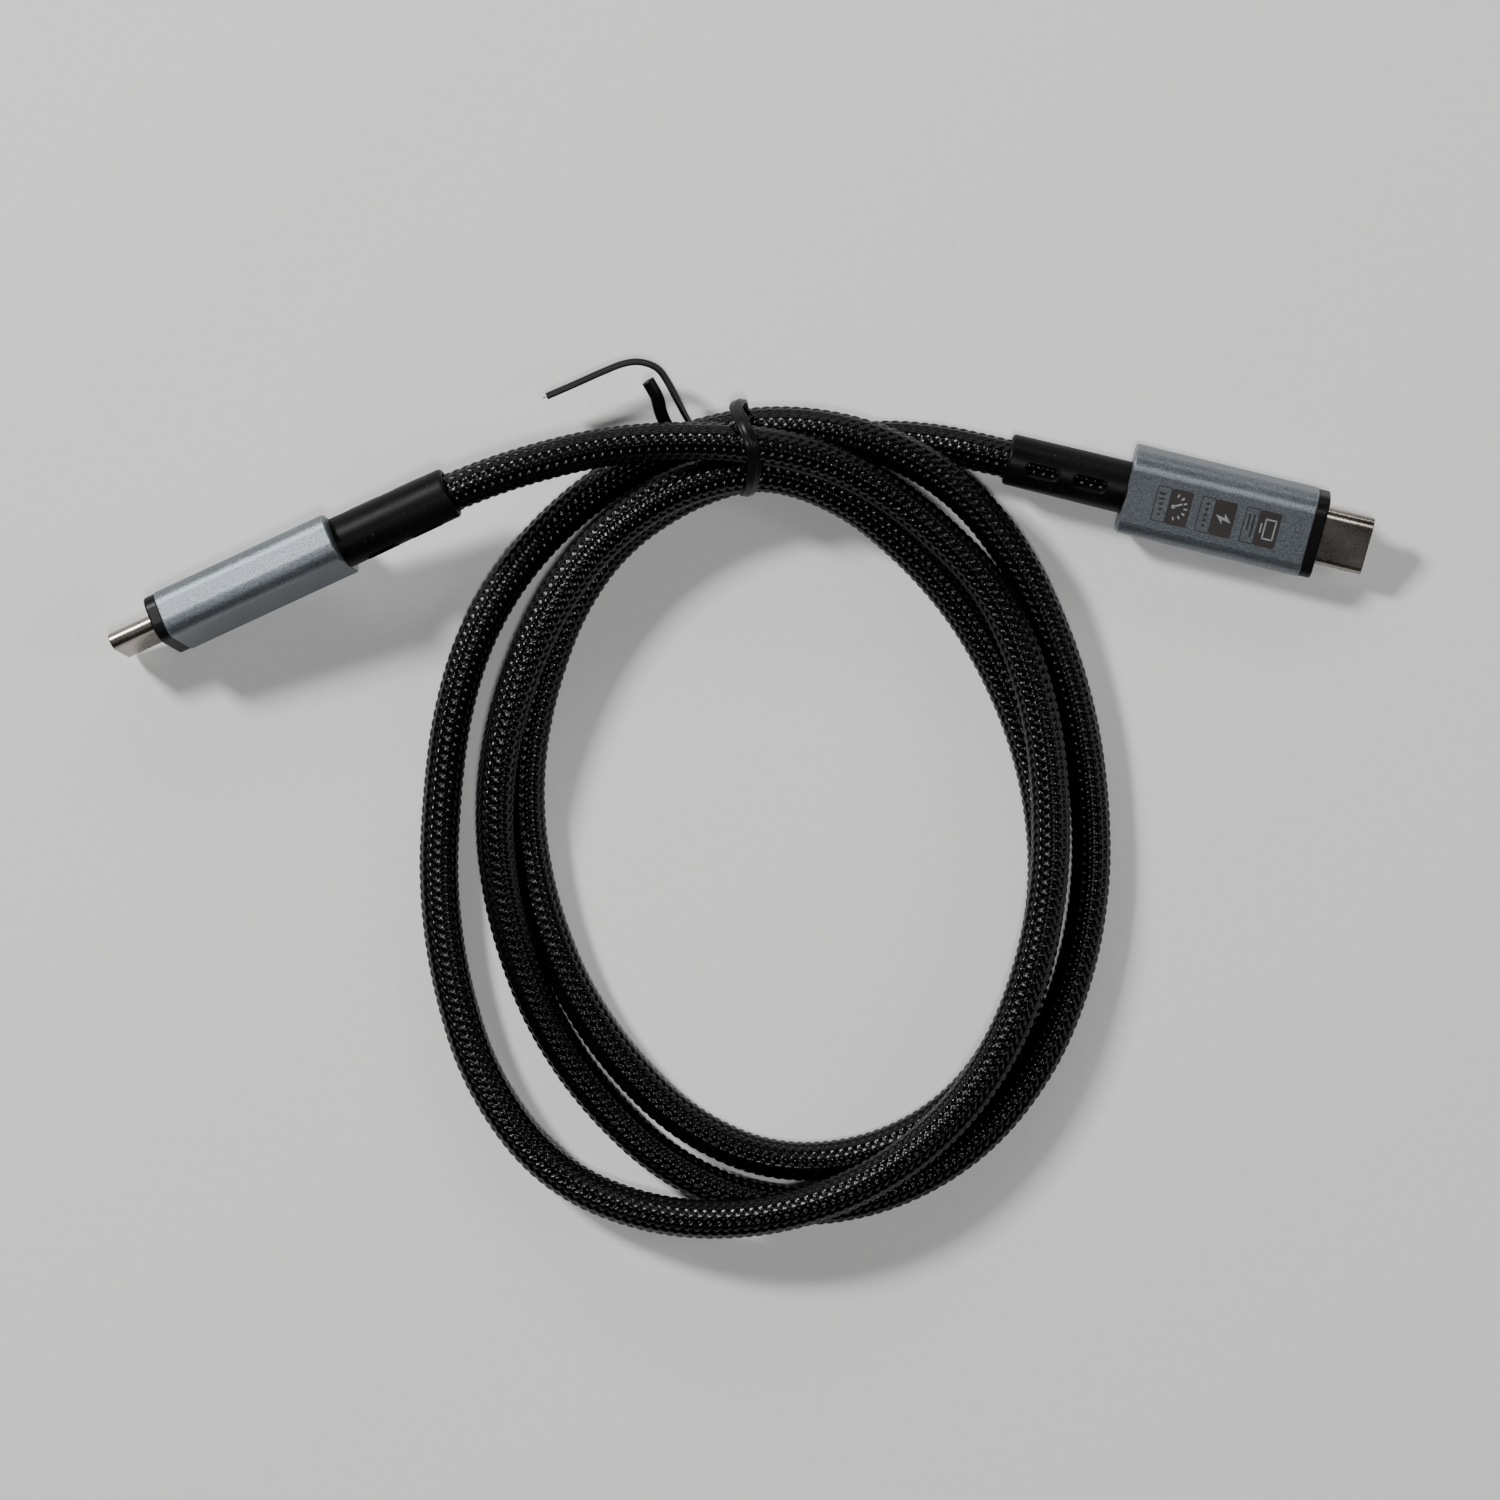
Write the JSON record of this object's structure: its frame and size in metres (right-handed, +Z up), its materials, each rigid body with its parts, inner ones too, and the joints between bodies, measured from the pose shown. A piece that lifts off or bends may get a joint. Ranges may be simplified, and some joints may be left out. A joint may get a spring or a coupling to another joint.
{
  "type": "charging cable",
  "caption": "Braided charging cable with a flat oval plug, metal housing and flexible boot at each end, in loose turns held by a twist tie.",
  "frame": {"origin": "on the surface that the cable lies on, at the middle of the box round the two connectors", "axes": "+X from the left connector to the right one, +Y away from the coil's far end, +Z up"},
  "size_m": [0.1737, 0.1208, 0.0159],
  "materials": {
    "anodised_housing": "bead blasted and anodised grey",
    "black_plastic": "fine satin",
    "boot_rubber": "matte, moulded",
    "plated_steel": "nickel plated, drawn",
    "spring_steel": "stamped sheet",
    "gold_contacts": "gold plated",
    "circuit_board": "solder mask",
    "chip_plastic": "moulded epoxy",
    "wire_insulation": "smooth",
    "inner_plastic": "moulded",
    "ferrule_brass": "crimped",
    "cable_jacket": "smooth jacket",
    "cable_braid": "braided nylon with a slight gloss",
    "tie_plastic": "satin"
  },
  "bodies": {
    "root": {"cable_coil": "cable_braid", "cable_left_lead": "cable_braid", "cable_right_lead": "cable_braid", "tie_ribbon": "tie_plastic", "tie_wire": "spring_steel"},
    "left_connector": {"left_housing": "anodised_housing", "left_front_collar": "black_plastic", "left_boot": "boot_rubber", "left_plug_shell": "plated_steel", "left_front_insulator": "black_plastic", "left_rear_insulator": "black_plastic", "left_contact_tails": "gold_contacts", "left_latch_plate": "spring_steel", "left_emc_spring_upper": "spring_steel", "left_emc_spring_lower": "spring_steel", "left_paddle_board": "circuit_board", "left_emarker_chip": "chip_plastic", "left_board_capacitors": "chip_plastic", "left_signal_wires": "wire_insulation", "left_shield_can_upper": "spring_steel", "left_shield_can_lower": "spring_steel", "left_inner_mould": "inner_plastic", "left_crimp_ferrule": "ferrule_brass", "left_cable_core": "cable_jacket"},
    "left_contacts_upper": {"left_contacts_upper": "gold_contacts"},
    "left_contacts_lower": {"left_contacts_lower": "gold_contacts"},
    "left_latch_arm_a": {"left_latch_arm_a": "spring_steel"},
    "left_latch_arm_b": {"left_latch_arm_b": "spring_steel"},
    "right_connector": {"right_housing": "anodised_housing", "right_front_collar": "black_plastic", "right_boot": "boot_rubber", "right_plug_shell": "plated_steel", "right_front_insulator": "black_plastic", "right_rear_insulator": "black_plastic", "right_contact_tails": "gold_contacts", "right_latch_plate": "spring_steel", "right_emc_spring_upper": "spring_steel", "right_emc_spring_lower": "spring_steel", "right_paddle_board": "circuit_board", "right_emarker_chip": "chip_plastic", "right_board_capacitors": "chip_plastic", "right_signal_wires": "wire_insulation", "right_shield_can_upper": "spring_steel", "right_shield_can_lower": "spring_steel", "right_inner_mould": "inner_plastic", "right_crimp_ferrule": "ferrule_brass", "right_cable_core": "cable_jacket"},
    "right_contacts_upper": {"right_contacts_upper": "gold_contacts"},
    "right_contacts_lower": {"right_contacts_lower": "gold_contacts"},
    "right_latch_arm_a": {"right_latch_arm_a": "spring_steel"},
    "right_latch_arm_b": {"right_latch_arm_b": "spring_steel"}
  },
  "joints": [
    {"name": "left_boot_bend", "type": "hinge", "parent": "root", "child": "left_connector", "pos_m": [-0.04729, 0.00363, 0.01085], "axis": [0, 0, 1], "range_deg": [-20, 20], "stiffness_Nm_per_rad": 0.03, "deforming": ["left_boot"]},
    {"name": "left_contacts_upper_flex", "type": "hinge", "parent": "left_connector", "child": "left_contacts_upper", "pos_m": [-0.07993, -0.01193, 0.00625], "axis": [-0.212, 0.1602, 0.9641], "range_deg": [0, 3], "stiffness_Nm_per_rad": 0.02},
    {"name": "left_contacts_lower_flex", "type": "hinge", "parent": "left_connector", "child": "left_contacts_lower", "pos_m": [-0.08046, -0.01067, 0.00593], "axis": [0.212, -0.1602, -0.9641], "range_deg": [0, 3], "stiffness_Nm_per_rad": 0.02},
    {"name": "left_latch_arm_a_flex", "type": "hinge", "parent": "left_connector", "child": "left_latch_arm_a", "pos_m": [-0.07936, -0.01182, 0.00272], "axis": [0.3739, -0.8981, 0.2314], "range_deg": [0, 2.5], "stiffness_Nm_per_rad": 0.02},
    {"name": "left_latch_arm_b_flex", "type": "hinge", "parent": "left_connector", "child": "left_latch_arm_b", "pos_m": [-0.08085, -0.0107, 0.00949], "axis": [-0.3739, 0.8981, -0.2314], "range_deg": [0, 2.5], "stiffness_Nm_per_rad": 0.02},
    {"name": "right_boot_bend", "type": "hinge", "parent": "root", "child": "right_connector", "pos_m": [0.04457, 0.00998, 0.00475], "axis": [0, 0, 1], "range_deg": [-20, 20], "stiffness_Nm_per_rad": 0.03, "deforming": ["right_boot"]},
    {"name": "right_contacts_upper_flex", "type": "hinge", "parent": "right_connector", "child": "right_contacts_upper", "pos_m": [0.07993, 0.00111, 0.0054], "axis": [-0.2226, -0.913, -0.342], "range_deg": [0, 3], "stiffness_Nm_per_rad": 0.02},
    {"name": "right_contacts_lower_flex", "type": "hinge", "parent": "right_connector", "child": "right_contacts_lower", "pos_m": [0.08004, 0.00158, 0.00409], "axis": [0.2226, 0.913, 0.342], "range_deg": [0, 3], "stiffness_Nm_per_rad": 0.02},
    {"name": "right_latch_arm_a_flex", "type": "hinge", "parent": "right_connector", "child": "right_latch_arm_a", "pos_m": [0.08067, 0.00457, 0.00595], "axis": [-0.081, -0.3323, 0.9397], "range_deg": [0, 2.5], "stiffness_Nm_per_rad": 0.02},
    {"name": "right_latch_arm_b_flex", "type": "hinge", "parent": "right_connector", "child": "right_latch_arm_b", "pos_m": [0.0791, -0.00183, 0.00355], "axis": [0.081, 0.3323, -0.9397], "range_deg": [0, 2.5], "stiffness_Nm_per_rad": 0.02}
  ]
}
